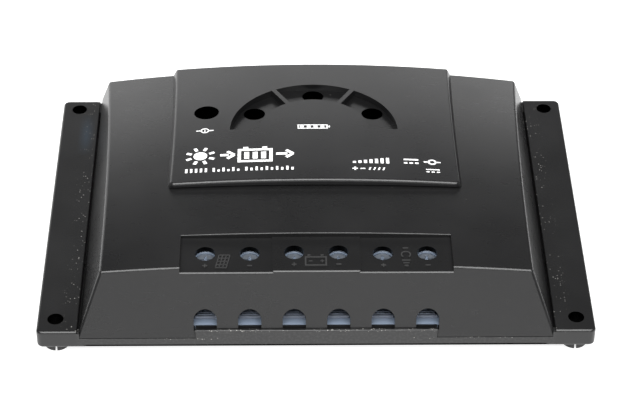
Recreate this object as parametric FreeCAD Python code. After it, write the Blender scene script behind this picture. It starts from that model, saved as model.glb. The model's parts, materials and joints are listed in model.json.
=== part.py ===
import FreeCAD, Part
import math
import os

from FreeCAD import Vector

# Solar charge controller, millimetres, +Z up out of the mounting surface, -Y towards the wire terminals.
# Origin: centre of the footprint, on the plane the four spacer feet stand on.

# ---- Driving dimensions -------------------------------------------------------------------------------
LENGTH = 145.0              # X, over both mounting flanges
WIDTH = 100.0               # Y, terminal side to far side
FLANGE_BOTTOM = 2.75        # underside of the base, lifted off the wall by the feet
FLANGE_TOP = 8.0
FLANGE_INNER_X = 61.9       # inner edge of each mounting flange
FLANGE_CORNER = 1.6         # rounding of the flanges' upright corners
FLANGE_EDGE = 0.7           # and of their top and bottom edges
PARTING_Z = 5.8             # joint between base and cover
WALL = 1.8                  # cover and base wall
FLOOR = 1.5                 # base floor

HOLE_D = 4.2                # mounting screw holes
HOLE_SPACING_X = 135.5
HOLE_SPACING_Y = 90.5
HOLE_CENTRE_Y = 0.5
FOOT_D = 6.8                # spacer feet round the mounting screws
FOOT_SLOT = 0.5             # each foot is split in two by a slot this wide

SIDE_X = 61.3               # cover half width at the flange top
SIDE_DRAFT = 0.385          # cover side wall, inwards per mm of height
FLARE = 0.45                # the cover's side edges spread by this much towards the rear
RIDGE_Z = 22.8              # cover top at its side edge, over the terminals
RIDGE_Y = -42.0             # where that edge is highest
SPINE_RADIUS = 529.0        # the side edge falls away to the rear along this radius
CROWN_FRONT = 900.0         # side-to-side crown radius at the ridge
CROWN_REAR = 420.0          # and at the far wall
FRONT_SLOPE = 0.40          # front face, backwards per mm of height
SIDE_EDGE = 0.9             # rounding of the cover's side edges
RIDGE_EDGE = 0.8            # and of its front ridge

POLES = 6
PITCH = 11.5                # between terminal poles
SCREW_Y = -36.0             # terminal screw axes
ACCESS_D = 5.2              # screw access holes in the cover
WINDOW_W = 6.0              # wire windows
TONGUE_X = 31.3             # half width of the base tongue that closes the windows
TONGUE_TOP = 8.4            # it rises this high
TONGUE_T = 0.75             # and is this thick
NOTCH_TOP = 8.28            # lower edge of the cover just behind the tongue
TRENCH_RIB_TOP = 7.85       # rib of the base that closes the trench behind the tongue
WINDOW_SPRING = 10.8        # where the window's arch starts
WINDOW_TOP = 13.25
SEAM = 0.15                 # shadow line between cover and base

RECESS_X = 35.2             # half width of the screw recess
RECESS_BACK_Y = -30.0       # its back wall
EDGE_SOFTENING = 0.3        # rim of the recess's back wall
FACET_EDGE = 0.8            # rounding of the facets' front edges
FACET_X = 11.5              # half width of its middle facet
FACET_FRONT_Z = 22.6        # the facets' height along their front edge
FACET_BACK_Z = 22.78        # and along the back wall
FACET_STEP = 0.4            # the middle facet stands this much higher
CEILING_Z = 21.3            # inside of the cover under the recess

PANEL_FRONT_X = 38.5        # half width of the raised display panel's top at its front
PANEL_REAR_X = 39.2         # and at the rear
PANEL_SLOPE = 0.5           # its side walls, outwards per mm down
PANEL_BOW = 0.94            # its front arches this much more than the cover
PANEL_FRONT_Y = -9.6
PANEL_RISE = 2.0
PANEL_CORNER = 1.2          # rounding of its upright front corners
PANEL_EDGE = 0.8            # and of its top rim
PEG_D = 2.6                 # pegs under the panel's corners
PEG_XY = ((-35.5, -5.0), (35.5, -5.0), (-35.5, 44.0), (35.5, 44.0))
INFO_XY = (-29.9, 24.6)
INFO_D = 6.9                # info lamp hole
GAUGE_Y = 15.2              # centre of the half-ring battery gauge
GAUGE_R_OUT = 23.2          # its outer and inner radii
GAUGE_R_IN = 15.0
GAUGE_RIB = 1.3             # width of the two ribs that divide it
RIB_TURN = 28.5             # their angle either side of the middle
LED_R = 19.6                # battery lamps sit on this radius
LED_ANGLES = (147.5, 90.0, 32.5)
LED_HOLE_D = 6.0

BOARD_BOTTOM = 5.3
BOARD_T = 1.6
BOARD_TOP = BOARD_BOTTOM + BOARD_T
BOARD_X = 56.5
BOARD_FRONT_Y = -46.6
BOARD_REAR_Y = 46.5
BOARD_SCREWS = ((-51.0, -24.0), (51.0, -24.0), (-51.0, 41.0), (51.0, 41.0))

CAGE_TRAVEL = 3.0           # rise of a clamp cage from open to shut
CAGE_W = 7.6
CAGE_WALL = 0.8
CAGE_BOTTOM = 7.55
WIRE_FLOOR = 8.4            # top of the cage floor when open
CAGE_HEAD = 12.95           # underside of the cage's threaded head when open
CAGE_HEAD_T = 1.8
CAGE_LENGTH = 6.5
CAGE_LIP_Y = -44.6          # front end of the cage's serrated lip
GROOVE_PITCH = 0.8          # serrations across the lip and the cage floor
BAR_Z = 11.9                # underside of the current bar
BAR_T = 0.8
BAR_W = 4.6
SCREW_D = 2.9
SCREW_HEAD_D = 5.0
SCREW_HEAD_Z = 18.9
SCREW_TOP = 20.5
HOUSING_TOP = 20.85
HOUSING_BACK_Y = -30.2
HOUSING_GAP = 0.15          # between the housings and the cover's front wall
HOUSING_ROOF = 17.85        # underside of the roof over the cage

LED_D = 3.0
LED_SPACER = 3.2

POLE_X = [PITCH * (i - (POLES - 1) / 2.0) for i in range(POLES)]
BLOCK_X = [PITCH * 2.0 * (i - 1) for i in range(POLES // 2)]


# ---- Small helpers ------------------------------------------------------------------------------------
def box(x0, x1, y0, y1, z0, z1):
    return Part.makeBox(x1 - x0, y1 - y0, z1 - z0, Vector(x0, y0, z0))


def rod(x, y, z0, z1, diameter):
    return Part.makeCylinder(diameter / 2.0, z1 - z0, Vector(x, y, z0))


def prism_x(points_yz, x0, x1):
    """Extrude a closed outline in the YZ plane along X."""
    corners = [Vector(x0, y, z) for y, z in points_yz]
    face = Part.Face(Part.makePolygon(corners + corners[:1]))
    return face.extrude(Vector(x1 - x0, 0, 0))


def fuse(shapes):
    result = shapes[0].multiFuse(shapes[1:]) if len(shapes) > 1 else shapes[0]
    return result.removeSplitter()


def edges_where(shape, test):
    """Edges whose every sampled point passes the test."""
    found = []
    for edge in shape.Edges:
        first, last = edge.ParameterRange
        points = [edge.valueAt(first + (last - first) * k / 4.0) for k in range(5)]
        if all(test(p) for p in points):
            found.append(edge)
    return found


def rounded(shape, radius, test):
    """Fillet the edges that pass the test."""
    return shape.makeFillet(radius, edges_where(shape, test))


# ---- Outer form of the cover --------------------------------------------------------------------------
def edge_height(y):
    """Height of the cover's top along its side edge."""
    return RIDGE_Z - (y - RIDGE_Y) ** 2 / (2.0 * SPINE_RADIUS)


def side_x(y, z):
    """Half width of the drafted side wall."""
    spread = FLARE * ((y + WIDTH / 2.0) / WIDTH) ** 2
    return SIDE_X + spread - SIDE_DRAFT * (z - FLANGE_TOP)


def crown_height(y):
    """Height of the cover's top on the centre line."""
    share = (WIDTH / 2.0 - y) / (WIDTH / 2.0 - RIDGE_Y)
    radius = CROWN_REAR + (CROWN_FRONT - CROWN_REAR) * share
    half = side_x(y, edge_height(y))
    return edge_height(y) + half ** 2 / (2.0 * radius)


def front_y(z):
    """The sloping front face."""
    return -WIDTH / 2.0 + FRONT_SLOPE * (z - PARTING_Z)


def section(y, drop, inset, bow):
    """One cross-section of the cover: flat bottom, drafted sides, arched top."""
    x_edge = side_x(y, edge_height(y) - drop) - inset
    z_edge = edge_height(y) - drop - bow
    z_low = FLANGE_BOTTOM
    x_low = side_x(y, z_low) - inset
    middle = Vector(0, y, crown_height(y) - drop)
    top = Part.Arc(Vector(-x_edge, y, z_edge), middle, Vector(x_edge, y, z_edge))
    left = Part.LineSegment(Vector(-x_low, y, z_low), Vector(-x_edge, y, z_edge))
    right = Part.LineSegment(Vector(x_edge, y, z_edge), Vector(x_low, y, z_low))
    low = Part.LineSegment(Vector(x_low, y, z_low), Vector(-x_low, y, z_low))
    return Part.Wire([left.toShape(), top.toShape(), right.toShape(), low.toShape()])


def dome(drop, inset, bow=0.0):
    """The cover's lofted body, lowered, narrowed and, towards its front, bowed more."""
    stations = [-56.0, -42.0, -26.0, -10.0, 6.0, 22.0, 38.0, 54.0]
    bows = [bow * (WIDTH / 2.0 - y) / (WIDTH / 2.0 - PANEL_FRONT_Y) for y in stations]
    return Part.makeLoft([section(y, drop, inset, b) for y, b in zip(stations, bows)], True, False)


def trimmed_dome(drop, inset, front_shift, rear_y, x_limit):
    """The lofted body cut to the sloping front, the upright rear and the flange gap."""
    z_top = 30.0
    profile = [
        (-WIDTH / 2.0 + front_shift, FLANGE_BOTTOM),
        (-WIDTH / 2.0 + front_shift, PARTING_Z),
        (front_y(z_top) + front_shift, z_top),
        (rear_y, z_top),
        (rear_y, FLANGE_BOTTOM),
    ]
    return dome(drop, inset).common(prism_x(profile, -x_limit, x_limit))


def facet(x0, x1, rise):
    """The space above one flat facet of the screw recess."""
    profile = [
        (-WIDTH / 2.0 - 2.0, FACET_FRONT_Z + rise - 0.35),
        (RECESS_BACK_Y, FACET_BACK_Z + rise),
        (RECESS_BACK_Y, 30.0),
        (-WIDTH / 2.0 - 2.0, 30.0),
    ]
    return prism_x(profile, x0, x1)


def window(x):
    """One arched wire window, cut right through the front."""
    half = WINDOW_W / 2.0
    y0 = -WIDTH / 2.0 - 1.0
    left = Vector(x - half, y0, WINDOW_SPRING)
    right = Vector(x + half, y0, WINDOW_SPRING)
    arch = Part.Arc(right, Vector(x, y0, WINDOW_TOP), left)
    low_left = Vector(x - half, y0, NOTCH_TOP - 0.5)
    low_right = Vector(x + half, y0, NOTCH_TOP - 0.5)
    sides = Part.makePolygon([left, low_left, low_right, right])
    face = Part.Face(Part.Wire([arch.toShape()] + sides.Edges))
    return face.extrude(Vector(0, 8.0, 0))


def surface_z(x, y):
    """Height of the cover's top anywhere between its side edges."""
    half = side_x(y, edge_height(y))
    return edge_height(y) + (crown_height(y) - edge_height(y)) * (1.0 - (x / half) ** 2)


def led_places():
    places = []
    for angle in LED_ANGLES:
        turn = math.radians(angle)
        places.append((LED_R * math.cos(turn), GAUGE_Y + LED_R * math.sin(turn)))
    return places


# ---- Housing ------------------------------------------------------------------------------------------
SNAP_Y = (-20.0, 40.0)
SNAP_W = 4.2
STRIP_LIFT = 0.95           # the base's front strip ends this far over its underside
STRIP_REBATE = 0.4          # depth of the step under the front strip
GROOVE_END = 5.0            # the groove beside the cover stops this far before the rear


def front_cover():
    rear = WIDTH / 2.0
    outer = trimmed_dome(0.0, 0.0, 0.0, rear, SIDE_X)
    outer = outer.cut(box(-80, 80, -60, 60, 0, PARTING_Z))
    above = FLANGE_TOP + 1.0
    outer = rounded(outer, SIDE_EDGE, lambda p: p.z > above and abs(p.x) > side_x(p.y, p.z) - 0.2 and p.y > -43.6)
    outer = rounded(outer, RIDGE_EDGE, lambda p: p.z > above and abs(p.y - front_y(p.z)) < 0.7)
    outer = screw_recess(outer)
    inset = WALL * math.sqrt(1.0 + SIDE_DRAFT ** 2)
    shift = WALL * math.sqrt(1.0 + FRONT_SLOPE ** 2)
    inner = trimmed_dome(WALL, inset, shift, rear - WALL, SIDE_X - inset)
    inner = inner.cut(box(-RECESS_X - WALL, RECESS_X + WALL, -60, RECESS_BACK_Y + WALL, CEILING_Z, 30))
    shell = outer.cut(inner)
    tools = [
        box(-TONGUE_X - SEAM, TONGUE_X + SEAM, -51, -45, 0, NOTCH_TOP),
        box(-80, 80, -51, -rear + 0.5, 0, PARTING_Z + SEAM),
        box(-80, 80, rear - 0.5, rear + 1, 0, PARTING_Z + SEAM),
    ]
    tools += [rod(x, y, 0, 30, PEG_D + 0.1) for x, y in PEG_XY]
    tools += [window(x) for x in POLE_X]
    tools += [rod(x, SCREW_Y, CEILING_Z - 2, 30, ACCESS_D) for x in POLE_X]
    for side in (-1, 1):
        for y in SNAP_Y:
            low_x, high_x = sorted((side * (SIDE_X - 0.9), side * (SIDE_X + 2)))
            tools.append(box(low_x, high_x, y - SNAP_W / 2, y + SNAP_W / 2, 0, FLANGE_TOP + 0.7))
    shell = shell.cut(Part.makeCompound(tools))
    shell = shell.fuse(light_shrouds(inner))
    for x, y in led_places():
        shell = shell.cut(rod(x, y, 0, 30, LED_HOLE_D))
    shell = shell.cut(rod(INFO_XY[0], INFO_XY[1], 0, 30, INFO_D))
    return shell.removeSplitter()


def screw_recess(outer):
    """Three flat facets let into the ridge, with softened edges."""
    recess = Part.makeCompound([
        facet(-RECESS_X, -FACET_X, 0.0),
        facet(-FACET_X, FACET_X, FACET_STEP),
        facet(FACET_X, RECESS_X, 0.0),
    ])
    outer = outer.cut(recess)
    wall_foot = FACET_BACK_Z + FACET_STEP + 0.2
    outer = rounded(outer, EDGE_SOFTENING, lambda p: abs(p.y - RECESS_BACK_Y) < 0.01 and p.z > wall_foot)
    low = FACET_FRONT_Z - 0.3
    high = FACET_FRONT_Z + FACET_STEP + 0.3
    return rounded(outer, FACET_EDGE, lambda p: low < p.z < high and abs(p.y - front_y(p.z)) < 0.01)


def light_shrouds(inner):
    """Tubes under the lamp holes that keep each lamp's light to its own hole."""
    tubes = [rod(x, y, 14.0, 26.0, LED_HOLE_D + 2.0) for x, y in led_places()]
    tubes.append(rod(INFO_XY[0], INFO_XY[1], 14.0, 26.0, INFO_D + 2.0))
    return Part.makeCompound(tubes).common(inner)


def panel_sides():
    """The space between the panel's sloping side walls."""
    wires = []
    low = FLANGE_TOP
    high = 40.0
    for y, half in ((PANEL_FRONT_Y, PANEL_FRONT_X), (WIDTH / 2.0, PANEL_REAR_X)):
        z_edge = surface_z(half, y) + PANEL_RISE
        x_low = half + PANEL_SLOPE * (z_edge - low)
        x_high = half - PANEL_SLOPE * (high - z_edge)
        outline = ((-x_low, low), (x_low, low), (x_high, high), (-x_high, high))
        corners = [Vector(x, y, z) for x, z in outline]
        wires.append(Part.makePolygon(corners + corners[:1]))
    return Part.makeLoft(wires, True, True)


def display_panel():
    """The raised plate over the lamps, with the gauge pocket cut through to the cover."""
    rear = WIDTH / 2.0
    lifted = dome(0.0, 0.0, PANEL_BOW)
    lifted.translate(Vector(0, 0, PANEL_RISE))
    plate = lifted.common(panel_sides())
    plate = plate.cut(dome(0.0, 0.0))
    corner_x = PANEL_FRONT_X - 1.0
    plate = rounded(plate, PANEL_CORNER, lambda p: abs(p.x) > corner_x and abs(p.y - PANEL_FRONT_Y) < 0.01)
    lip_z = PANEL_RISE - 1.1
    plate = rounded(plate, PANEL_EDGE, lambda p: p.y < rear - 0.01 and p.z > surface_z(p.x, p.y) + lip_z)
    ring = rod(0, GAUGE_Y, 0, 40, 2 * GAUGE_R_OUT).cut(rod(0, GAUGE_Y, 0, 40, 2 * GAUGE_R_IN))
    ring = ring.common(box(-40, 40, GAUGE_Y, 60, 0, 40))
    for turn in (-RIB_TURN, RIB_TURN):
        rib = box(-GAUGE_RIB / 2, GAUGE_RIB / 2, 0, 40, 0, 40)
        rib.rotate(Vector(0, 0, 0), Vector(0, 0, 1), turn)
        rib.translate(Vector(0, GAUGE_Y, 0))
        ring = ring.cut(rib)
    undercut = dome(0.0, 0.0)
    undercut.translate(Vector(0, 0, 0.3))
    undercut = undercut.common(box(-60, 60, PANEL_FRONT_Y - 1, PANEL_FRONT_Y + 0.5, 0, 40))
    plate = plate.cut(ring).cut(undercut).cut(rod(INFO_XY[0], INFO_XY[1], 0, 40, INFO_D))
    pegs = [rod(x, y, surface_z(x, y) - 3.6, surface_z(x, y) + 1.0, PEG_D) for x, y in PEG_XY]
    return fuse([plate] + pegs)


def mounting_holes():
    half_x = HOLE_SPACING_X / 2.0
    half_y = HOLE_SPACING_Y / 2.0
    return [(sx * half_x, HOLE_CENTRE_Y + sy * half_y) for sx in (-1, 1) for sy in (-1, 1)]


def base_tray():
    half_x = LENGTH / 2.0
    half_y = WIDTH / 2.0
    in_y = half_y - WALL
    body = box(-half_x, half_x, -half_y, half_y, FLANGE_BOTTOM, FLANGE_TOP)
    body = rounded(body, FLANGE_CORNER, lambda p: abs(p.x) > half_x - 0.01 and abs(p.y) > half_y - 0.01)
    body = rounded(body, FLANGE_EDGE, lambda p: p.z < FLANGE_BOTTOM + 0.01 or p.z > FLANGE_TOP - 0.01)
    ledge_x = SIDE_X - WALL + 0.4
    body = body.cut(box(-FLANGE_INNER_X, FLANGE_INNER_X, -60, 60, PARTING_Z, 20))
    body = body.cut(box(-ledge_x, ledge_x, -in_y, in_y, FLANGE_BOTTOM + FLOOR, 20))
    body = rounded(body, 0.35, lambda p: abs(abs(p.x) - FLANGE_INNER_X) < 0.01 and p.z > FLANGE_TOP - 0.01)
    hollow_x = FLANGE_INNER_X + WALL
    cuts = [box(-60, 60, -half_y - 1, -half_y + STRIP_REBATE, 0, FLANGE_BOTTOM + STRIP_LIFT)]
    for side in (-1, 1):
        low_x, high_x = sorted((side * hollow_x, side * (half_x - WALL)))
        cuts.append(box(low_x, high_x, -in_y, in_y, 0, FLANGE_TOP - 2.0))
    body = body.cut(Part.makeCompound(cuts))
    adds = [tongue(), trench_rib()]
    for side in (-1, 1):
        low_x, high_x = sorted((side * (hollow_x - 0.5), side * (half_x - WALL + 0.5)))
        for y in (-30, -15, 0, 15, 30):
            adds.append(box(low_x, high_x, y - 0.6, y + 0.6, FLANGE_BOTTOM + 0.4, FLANGE_TOP - 1.0))
        for y in SNAP_Y:
            adds.append(snap_lug(side, y))
        plug_x0, plug_x1 = sorted((side * (SIDE_X + 0.05), side * (FLANGE_INNER_X + 0.5)))
        for y0, y1 in ((-half_y, -in_y), (half_y - GROOVE_END, half_y - 0.5)):
            adds.append(box(plug_x0, plug_x1, y0, y1, PARTING_Z - 0.5, FLANGE_TOP - 0.5))
        rim_x0, rim_x1 = sorted((side * (BOARD_X + 0.9), side * (BOARD_X + 2.1)))
        adds.append(box(rim_x0, rim_x1, -40, 46, FLANGE_BOTTOM + 1.0, PARTING_Z + 1.6))
    for x, y in mounting_holes():
        adds.append(rod(x, y, 0, FLANGE_TOP - 0.5, FOOT_D))
    for x, y in BOARD_SCREWS:
        adds.append(rod(x, y, FLANGE_BOTTOM - 1.0, BOARD_BOTTOM, 6.0))
    for x in (-34.0, 0.0, 34.0):
        adds.append(box(x - 0.6, x + 0.6, -44, 44, FLANGE_BOTTOM + 1.0, BOARD_BOTTOM))
    body = fuse([body] + adds)
    holes = [rod(x, y, -1, 20, HOLE_D) for x, y in mounting_holes()]
    half_slot = FOOT_SLOT / 2.0
    for x, y in mounting_holes():
        holes.append(box(x - half_slot, x + half_slot, y - FOOT_D, y + FOOT_D, -1, FLANGE_BOTTOM - 0.25))
    holes += [rod(x, y, BOARD_SCREW_TIP, 20, BOARD_SCREW_D) for x, y in BOARD_SCREWS]
    return body.cut(Part.makeCompound(holes))


def tongue():
    """The thin upright lip of the base that closes the bottom of the wire windows."""
    front = -WIDTH / 2.0
    lip = box(-TONGUE_X, TONGUE_X, front, front + TONGUE_T, PARTING_Z - 0.5, TONGUE_TOP)
    return rounded(lip, 0.3, lambda p: p.z > TONGUE_TOP - 0.01 and p.y < front + 0.01)


def trench_rib():
    """A rib close to the terminal housings; between it and the tongue is a narrow trench."""
    low = PARTING_Z - 0.3
    profile = [
        (housing_front_y(low) - 0.8, low),
        (housing_front_y(TRENCH_RIB_TOP) - 0.8, TRENCH_RIB_TOP),
        (housing_front_y(TRENCH_RIB_TOP) - 0.1, TRENCH_RIB_TOP),
        (housing_front_y(low) - 0.1, low),
    ]
    return prism_x(profile, -TONGUE_X, TONGUE_X)


def snap_lug(side, y):
    """A wedge on the flange's inner face that the cover's notch snaps over."""
    wedge = Part.Face(Part.makePolygon([
        Vector(side * (FLANGE_INNER_X + 0.3), y - 1.6, PARTING_Z),
        Vector(side * (SIDE_X - 0.4), y - 1.6, PARTING_Z + 0.1),
        Vector(side * (SIDE_X - 0.4), y - 1.6, PARTING_Z + 0.6),
        Vector(side * (FLANGE_INNER_X + 0.3), y - 1.6, FLANGE_TOP - 0.6),
        Vector(side * (FLANGE_INNER_X + 0.3), y - 1.6, PARTING_Z),
    ]))
    return wedge.extrude(Vector(0, 3.2, 0))


# ---- Circuit board ------------------------------------------------------------------------------------
BOARD_SCREW_D = 2.2
BOARD_SCREW_TIP = 2.7


def circuit_board():
    board = box(-BOARD_X, BOARD_X, BOARD_FRONT_Y, BOARD_REAR_Y, BOARD_BOTTOM, BOARD_TOP)
    holes = [rod(x, y, 0, 20, 2.7) for x, y in BOARD_SCREWS]
    holes += [rod(x, TAB_SCREW_Y, 0, 20, 3.4) for x in MOSFET_X]
    half = BAR_W / 2 + 0.05
    for x in POLE_X:
        holes.append(box(x - half, x + half, PIN_Y - 0.05, PIN_Y + BAR_T + 0.05, 0, 20))
    for sx in (-1, 1):
        low_x, high_x = sorted((sx * (BOARD_X - 5), sx * (BOARD_X + 1)))
        holes.append(box(low_x, high_x, BOARD_FRONT_Y - 1, BOARD_FRONT_Y + 5, 0, 20))
    return board.cut(Part.makeCompound(holes))


def board_screws():
    """Four self-tapping screws, one group."""
    screws = []
    for x, y in BOARD_SCREWS:
        head = rod(x, y, BOARD_TOP, BOARD_TOP + 1.4, 4.4)
        head = rounded(head, 0.5, lambda p: p.z > BOARD_TOP + 1.39)
        slot = box(x - 0.35, x + 0.35, y - 1.3, y + 1.3, BOARD_TOP + 0.6, BOARD_TOP + 2)
        cross = box(x - 1.3, x + 1.3, y - 0.35, y + 0.35, BOARD_TOP + 0.6, BOARD_TOP + 2)
        shank = rod(x, y, BOARD_SCREW_TIP, BOARD_TOP, BOARD_SCREW_D)
        screws.append(head.cut(slot).cut(cross).fuse(shank).removeSplitter())
    return Part.makeCompound(screws)


# ---- Terminals ----------------------------------------------------------------------------------------
PIN_Y = -31.9               # front of each current bar's solder pin
CAVITY_W = CAGE_W + 0.4
CAVITY_FRONT_Y = SCREW_Y - CAGE_LENGTH / 2.0 - 0.2
CAVITY_BACK_Y = SCREW_Y + CAGE_LENGTH / 2.0 + 0.2
ENTRY_W = 6.4               # wire entry of the terminal housing
ENTRY_FLOOR = 8.05
ENTRY_TOP = 13.4
CAVITY_FLOOR = 7.4
LIP_W = 5.6                 # the cage's serrated lip
LIP_SLOT_TOP = 11.8
WELL_D = SCREW_HEAD_D + 0.5


def housing_front_y(z):
    """The terminal housings lean back just behind the cover's front."""
    return front_y(z) + WALL * math.sqrt(1.0 + FRONT_SLOPE ** 2) + HOUSING_GAP


def terminal_housing(x_mid):
    """A two-pole terminal body with guided cages and funnel wire entries."""
    half = PITCH - 0.05
    profile = [
        (housing_front_y(BOARD_TOP), BOARD_TOP),
        (housing_front_y(HOUSING_TOP), HOUSING_TOP),
        (HOUSING_BACK_Y, HOUSING_TOP),
        (HOUSING_BACK_Y, BOARD_TOP),
    ]
    body = prism_x(profile, x_mid - half, x_mid + half)
    back = HOUSING_BACK_Y - 0.01
    above = BOARD_TOP + 0.01
    body = rounded(body, 0.4, lambda p: p.z > HOUSING_TOP - 0.01 or (p.y > back and p.z > above))
    tools = []
    for x in (x_mid - PITCH / 2.0, x_mid + PITCH / 2.0):
        half = CAVITY_W / 2
        tools.append(box(x - half, x + half, CAVITY_FRONT_Y, CAVITY_BACK_Y, CAVITY_FLOOR, HOUSING_ROOF))
        tools.append(wire_entry(x))
        half = LIP_W / 2 + 0.3
        lip_end = CAGE_LIP_Y - 0.3
        tools.append(box(x - half, x + half, lip_end, CAVITY_FRONT_Y + 1, CAVITY_FLOOR, LIP_SLOT_TOP))
        tools.append(rod(x, SCREW_Y, HOUSING_ROOF - 1, HOUSING_TOP + 1, SCREW_D + 0.3))
        tools.append(rod(x, SCREW_Y, SCREW_HEAD_Z - 0.05, HOUSING_TOP + 1, WELL_D))
        rim = Vector(x, SCREW_Y, HOUSING_TOP - 0.4)
        tools.append(Part.makeCone(WELL_D / 2, WELL_D / 2 + 0.3, 0.4, rim))
        half = BAR_W / 2
        tools.append(box(x - half, x + half, CAVITY_BACK_Y - 1, PIN_Y + BAR_T, BAR_Z, BAR_Z + BAR_T))
        tools.append(box(x - half, x + half, PIN_Y, PIN_Y + BAR_T, 0, BAR_Z + BAR_T))
    return body.cut(Part.makeCompound(tools)).removeSplitter()


def wire_entry(x):
    """Opening from the housing's leaning front into the cage's cavity."""
    half = ENTRY_W / 2.0
    opening = box(x - half, x + half, -48.0, CAVITY_FRONT_Y + 0.5, ENTRY_FLOOR, ENTRY_TOP)
    return rounded(opening, 1.0, lambda p: p.z > ENTRY_TOP - 0.01 and abs(abs(p.x - x) - half) < 0.01)


def clamp_cage(x):
    """A rising clamp: a square loop whose threaded head the screw lifts."""
    y0 = SCREW_Y - CAGE_LENGTH / 2.0
    y1 = SCREW_Y + CAGE_LENGTH / 2.0
    top = CAGE_HEAD + CAGE_HEAD_T
    half = CAGE_W / 2.0
    loop = box(x - half, x + half, y0, y1, CAGE_BOTTOM, top)
    mid_z = (CAGE_BOTTOM + top) / 2.0
    reach = (top - CAGE_BOTTOM) / 2.0 - 0.01
    loop = rounded(loop, 0.7, lambda p: abs(p.x - x) > half - 0.01 and abs(p.z - mid_z) > reach)
    loop = loop.cut(box(x - half + CAGE_WALL, x + half - CAGE_WALL, y0 - 1, y1 + 1, WIRE_FLOOR, CAGE_HEAD))
    lip = box(x - LIP_W / 2, x + LIP_W / 2, CAGE_LIP_Y, y0 + 0.3, CAGE_BOTTOM, WIRE_FLOOR)
    loop = loop.fuse(lip)
    grooves = []
    y = CAGE_LIP_Y + 0.7
    over = WIRE_FLOOR + 0.01
    while y < y1 - 0.6:
        notch = [(y, over), (y + 0.5, over), (y + 0.25, WIRE_FLOOR - 0.25)]
        grooves.append(prism_x(notch, x - 2.2, x + 2.2))
        y += GROOVE_PITCH
    loop = loop.cut(Part.makeCompound(grooves))
    return loop.cut(rod(x, SCREW_Y, CAGE_HEAD - 1, top + 1, SCREW_D + 0.1)).removeSplitter()


def terminal_screw(x):
    """Clamp screw: slotted and crossed cheese head, shank down to the current bar."""
    head = rod(x, SCREW_Y, SCREW_HEAD_Z, SCREW_TOP, SCREW_HEAD_D)
    head = rounded(head, 0.3, lambda p: p.z > SCREW_TOP - 0.01)
    slot = box(x - 3, x + 3, SCREW_Y - 0.35, SCREW_Y + 0.35, SCREW_TOP - 0.8, SCREW_TOP + 1)
    cross = box(x - 0.35, x + 0.35, SCREW_Y - 1.35, SCREW_Y + 1.35, SCREW_TOP - 1.0, SCREW_TOP + 1)
    head = head.cut(slot).cut(cross)
    tip = BAR_Z + BAR_T + 0.05
    shank = rod(x, SCREW_Y, tip, SCREW_HEAD_Z, SCREW_D)
    shank = shank.makeChamfer(0.4, edges_where(shank, lambda p: p.z < tip + 0.01))
    return head.fuse(shank).removeSplitter()


def current_bar(x):
    """Fixed bar inside the cage, bent down at the back into its solder pin."""
    front = SCREW_Y - 2.6
    top = BAR_Z + BAR_T
    flat = box(x - BAR_W / 2, x + BAR_W / 2, front, PIN_Y + BAR_T, BAR_Z, top)
    pin = box(x - BAR_W / 2, x + BAR_W / 2, PIN_Y, PIN_Y + BAR_T, BOARD_BOTTOM - 0.5, top)
    bar = flat.fuse(pin).removeSplitter()
    return rounded(bar, 0.6, lambda p: p.z > top - 0.01 and p.y > PIN_Y + BAR_T - 0.01)


# ---- Lamps --------------------------------------------------------------------------------------------
def lamp_spacer(x, y):
    ring = rod(x, y, BOARD_TOP, BOARD_TOP + LED_SPACER, 4.4)
    for side in (-1, 1):
        ring = ring.cut(rod(x + side * 1.27, y, 0, 20, 0.9))
    return ring


def lamp(x, y):
    """A 3 mm lamp: flanged cylinder with a domed top and two legs."""
    z0 = BOARD_TOP + LED_SPACER
    flange = rod(x, y, z0, z0 + 1.0, 3.8).cut(box(x + 1.6, x + 3, y - 3, y + 3, z0, z0 + 1))
    barrel = rod(x, y, z0, z0 + 3.8, LED_D)
    dome_top = Part.makeSphere(LED_D / 2, Vector(x, y, z0 + 3.8))
    legs = []
    for leg_x in (x - 1.27, x + 1.27):
        legs.append(box(leg_x - 0.25, leg_x + 0.25, y - 0.25, y + 0.25, BOARD_TOP, z0 + 0.2))
    return fuse([flange, barrel, dome_top] + legs)


# ---- Power stage --------------------------------------------------------------------------------------
MOSFET_X = (-20.0, 0.0, 20.0)
SPREADER_Y = (-11.0, 5.0)
SPREADER_T = 1.5
PAD_T = 0.2
TAB_T = 1.3
TAB_SCREW_Y = 0.9
TAB_Z = BOARD_TOP + SPREADER_T + PAD_T


def heat_spreader():
    """Bent aluminium angle: a foot on the board and an upright fin."""
    y0, y1 = SPREADER_Y
    foot = box(-30, 30, y0, y1, BOARD_TOP, BOARD_TOP + SPREADER_T)
    fin = box(-30, 30, y1 - SPREADER_T, y1, BOARD_TOP, BOARD_TOP + 9.0)
    angle = foot.fuse(fin).removeSplitter()
    angle = rounded(angle, 1.4, lambda p: p.z < BOARD_TOP + 0.01 and p.y > y1 - 0.01)
    holes = [rod(x, TAB_SCREW_Y, 0, BOARD_TOP + SPREADER_T + 1, 3.0) for x in MOSFET_X]
    return angle.cut(Part.makeCompound(holes))


def insulating_pad():
    y0, y1 = SPREADER_Y
    z0 = BOARD_TOP + SPREADER_T
    pad = box(-28, 28, y0 + 0.4, y1 - SPREADER_T - 0.3, z0, z0 + PAD_T)
    return pad.cut(Part.makeCompound([rod(x, TAB_SCREW_Y, 0, 20, 3.2) for x in MOSFET_X]))


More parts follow.
